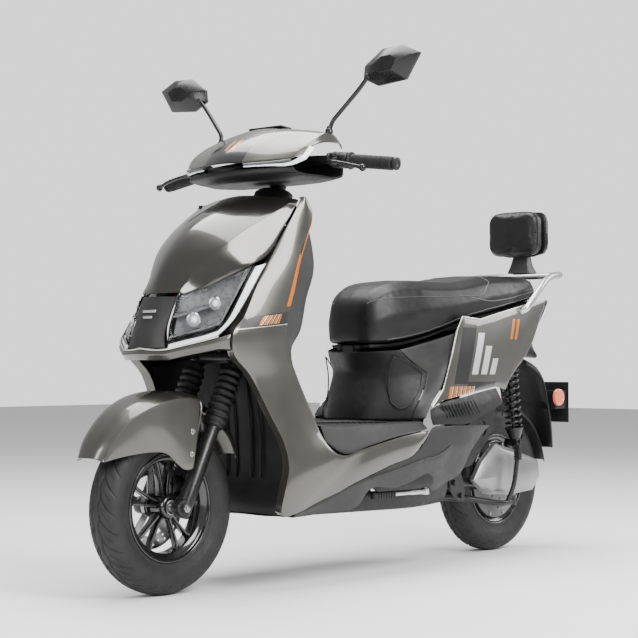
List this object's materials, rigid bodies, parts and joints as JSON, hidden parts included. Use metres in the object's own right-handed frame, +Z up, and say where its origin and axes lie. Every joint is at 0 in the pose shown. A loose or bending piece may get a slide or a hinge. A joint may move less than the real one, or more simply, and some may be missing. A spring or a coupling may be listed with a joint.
{
  "type": "moped scooter",
  "caption": "Step-through electric moped scooter with a hub-motor rear wheel, sprung front fork, swingarm, stepped seat, backrest and folding pegs.",
  "frame": {"origin": "on the ground under the middle of the scooter's outer box", "axes": "+Z up, front towards -Y, rider's left towards +X"},
  "size_m": [0.894, 1.8189, 1.305],
  "materials": {
    "body_paint": "metallic gloss paint on plastic",
    "lamp_housing": "dark grey",
    "clear_lens": "clear polycarbonate",
    "light_guide": "frosted white",
    "black_plastic": "grained",
    "dark_plastic": "grained",
    "grey_plastic": "grained",
    "red_lens": "lens",
    "alloy": "satin cast",
    "gloss_black": "gloss",
    "vinyl": "grained synthetic leather",
    "frame_paint": "semi-gloss black",
    "steel": "turned",
    "battery_case": "moulded",
    "rubber": "matt",
    "tyre": "matt",
    "wheel_paint": "gloss black",
    "spring_steel": "gloss black coil"
  },
  "bodies": {
    "chassis": {"hood": "body_paint", "side_shields": "body_paint", "front_lip": "body_paint", "headlight_housing": "lamp_housing", "headlight_lens": "clear_lens", "light_bars": "light_guide", "wheel_well_liner": "black_plastic", "inner_shield": "grey_plastic", "floorboard": "grey_plastic", "lower_covers": "dark_plastic", "seat_pedestal": "black_plastic", "side_covers": "grey_plastic", "tail_covers": "body_paint", "under_tail_trims": "dark_plastic", "tail_light": "red_lens", "rear_mudguard": "black_plastic", "grab_rail": "alloy", "backrest_bracket": "gloss_black", "backrest_pad": "vinyl", "frame_tubes": "frame_paint", "bearings_and_pins": "steel", "battery_pack": "battery_case", "controller": "alloy", "storage_bucket": "black_plastic"},
    "seat": {"seat_cushion": "vinyl", "seat_pan": "black_plastic"},
    "steering": {"fork_crown": "steel", "fork_boots": "rubber", "handlebar": "frame_paint", "headset_cowl": "body_paint", "headset_lower": "black_plastic", "headset_lights": "light_guide", "display": "gloss_black", "grip_left": "rubber", "switch_pods": "black_plastic"},
    "throttle": {"throttle_grip": "rubber"},
    "lever_left": {"brake_lever_left": "gloss_black"},
    "lever_right": {"brake_lever_right": "gloss_black"},
    "horn": {"horn_button": "dark_plastic"},
    "indicator": {"turn_switch": "grey_plastic"},
    "mirror_arm_left": {"mirror_stem_left": "gloss_black"},
    "mirror_arm_right": {"mirror_stem_right": "gloss_black"},
    "mirror_left": {"mirror_head_left": "gloss_black"},
    "mirror_right": {"mirror_head_right": "gloss_black"},
    "fork_lower": {"fork_sliders": "frame_paint", "front_fender": "body_paint", "brake_caliper": "frame_paint"},
    "front_wheel": {"front_tyre": "tyre", "front_rim": "wheel_paint", "brake_disc": "steel"},
    "rear_arm": {"swingarm": "frame_paint", "motor_cover": "alloy"},
    "rear_wheel": {"rear_tyre": "tyre", "hub_motor": "wheel_paint"},
    "shock_upper": {"shock_bodies": "frame_paint", "shock_springs": "spring_steel"},
    "shock_lower": {"shock_rods": "frame_paint"},
    "stand": {"center_stand": "frame_paint"},
    "footpeg_left": {"peg_left": "alloy"},
    "footpeg_right": {"peg_right": "alloy"}
  },
  "joints": [
    {"name": "steering_turn", "type": "hinge", "parent": "chassis", "child": "steering", "pos_m": [0, -0.67, 0.206], "axis": [0, 0.4462, 0.8949], "range_deg": [-38, 38]},
    {"name": "throttle_twist", "type": "hinge", "parent": "steering", "child": "throttle", "pos_m": [-0.262, -0.30482, 1.03365], "axis": [-0.9857, 0.116, -0.1224], "range_deg": [0, 70], "stiffness_Nm_per_rad": 0.3, "springref_deg": -22.92},
    {"name": "lever_left_squeeze", "type": "hinge", "parent": "steering", "child": "lever_left", "pos_m": [0.238, -0.342, 1.031], "axis": [0, 0, 1], "range_deg": [0, 14], "stiffness_Nm_per_rad": 3, "springref_deg": -17.19},
    {"name": "lever_right_squeeze", "type": "hinge", "parent": "steering", "child": "lever_right", "pos_m": [-0.238, -0.342, 1.031], "axis": [0, 0, -1], "range_deg": [0, 14], "stiffness_Nm_per_rad": 3, "springref_deg": -17.19},
    {"name": "horn_press", "type": "slide", "parent": "steering", "child": "horn", "axis": [0, -1, 0], "range_m": [0, 0.002], "stiffness_N_per_m": 400, "springref_m": -0.002},
    {"name": "indicator_shift", "type": "slide", "parent": "steering", "child": "indicator", "axis": [1, 0, 0], "range_m": [-0.005, 0.005]},
    {"name": "mirror_arm_left_swivel", "type": "hinge", "parent": "steering", "child": "mirror_arm_left", "pos_m": [0.187, -0.297, 1.112], "axis": [0, 0, 1], "range_deg": [-35, 35]},
    {"name": "mirror_arm_right_swivel", "type": "hinge", "parent": "steering", "child": "mirror_arm_right", "pos_m": [-0.187, -0.297, 1.112], "axis": [0, 0, 1], "range_deg": [-35, 35]},
    {"name": "mirror_left_tilt", "type": "hinge", "parent": "mirror_arm_left", "child": "mirror_left", "pos_m": [0.292, -0.272, 1.24], "axis": [1, 0, 0], "range_deg": [-12, 12]},
    {"name": "mirror_right_tilt", "type": "hinge", "parent": "mirror_arm_right", "child": "mirror_right", "pos_m": [-0.292, -0.272, 1.24], "axis": [1, 0, 0], "range_deg": [-12, 12]},
    {"name": "fork_compression", "type": "slide", "parent": "steering", "child": "fork_lower", "axis": [0, 0.4462, 0.8949], "range_m": [0, 0.04], "stiffness_N_per_m": 12000, "springref_m": -0.05, "deforming": ["fork_boots"]},
    {"name": "front_wheel_spin", "type": "hinge", "parent": "fork_lower", "child": "front_wheel", "pos_m": [0, -0.68, 0.206], "axis": [1, 0, 0], "continuous": true},
    {"name": "swingarm_swing", "type": "hinge", "parent": "chassis", "child": "rear_arm", "pos_m": [0, 0.31, 0.215], "axis": [1, 0, 0], "range_deg": [0, 7], "stiffness_Nm_per_rad": 1500, "springref_deg": -11.46},
    {"name": "rear_wheel_spin", "type": "hinge", "parent": "rear_arm", "child": "rear_wheel", "pos_m": [0, 0.62, 0.206], "axis": [1, 0, 0], "continuous": true},
    {"name": "shock_upper_tilt", "type": "hinge", "parent": "chassis", "child": "shock_upper", "pos_m": [0, 0.562, 0.545], "axis": [1, 0, 0], "range_deg": [-3, 1], "deforming": ["shock_springs"]},
    {"name": "shock_lower_tilt", "type": "hinge", "parent": "rear_arm", "child": "shock_lower", "pos_m": [0, 0.591, 0.318], "axis": [1, 0, 0], "range_deg": [-11, 1]},
    {"name": "stand_fold", "type": "hinge", "parent": "chassis", "child": "stand", "pos_m": [0, 0.34, 0.178], "axis": [1, 0, 0], "range_deg": [-80, 0], "stiffness_Nm_per_rad": 4, "springref_deg": 68.75},
    {"name": "peg_left_fold", "type": "hinge", "parent": "chassis", "child": "footpeg_left", "pos_m": [0.196, 0.072, 0.209], "axis": [0, 0, 1], "range_deg": [0, 90]},
    {"name": "peg_right_fold", "type": "hinge", "parent": "chassis", "child": "footpeg_right", "pos_m": [-0.196, 0.072, 0.209], "axis": [0, 0, -1], "range_deg": [0, 90]},
    {"name": "seat_lift", "type": "hinge", "parent": "chassis", "child": "seat", "pos_m": [0, -0.004, 0.584], "axis": [1, 0, 0], "range_deg": [0, 60]}
  ],
  "couplings": [
    {"joint": "shock_upper_tilt", "follows": "swingarm_swing", "ratio": -0.405},
    {"joint": "shock_lower_tilt", "follows": "swingarm_swing", "ratio": -1.405}
  ]
}
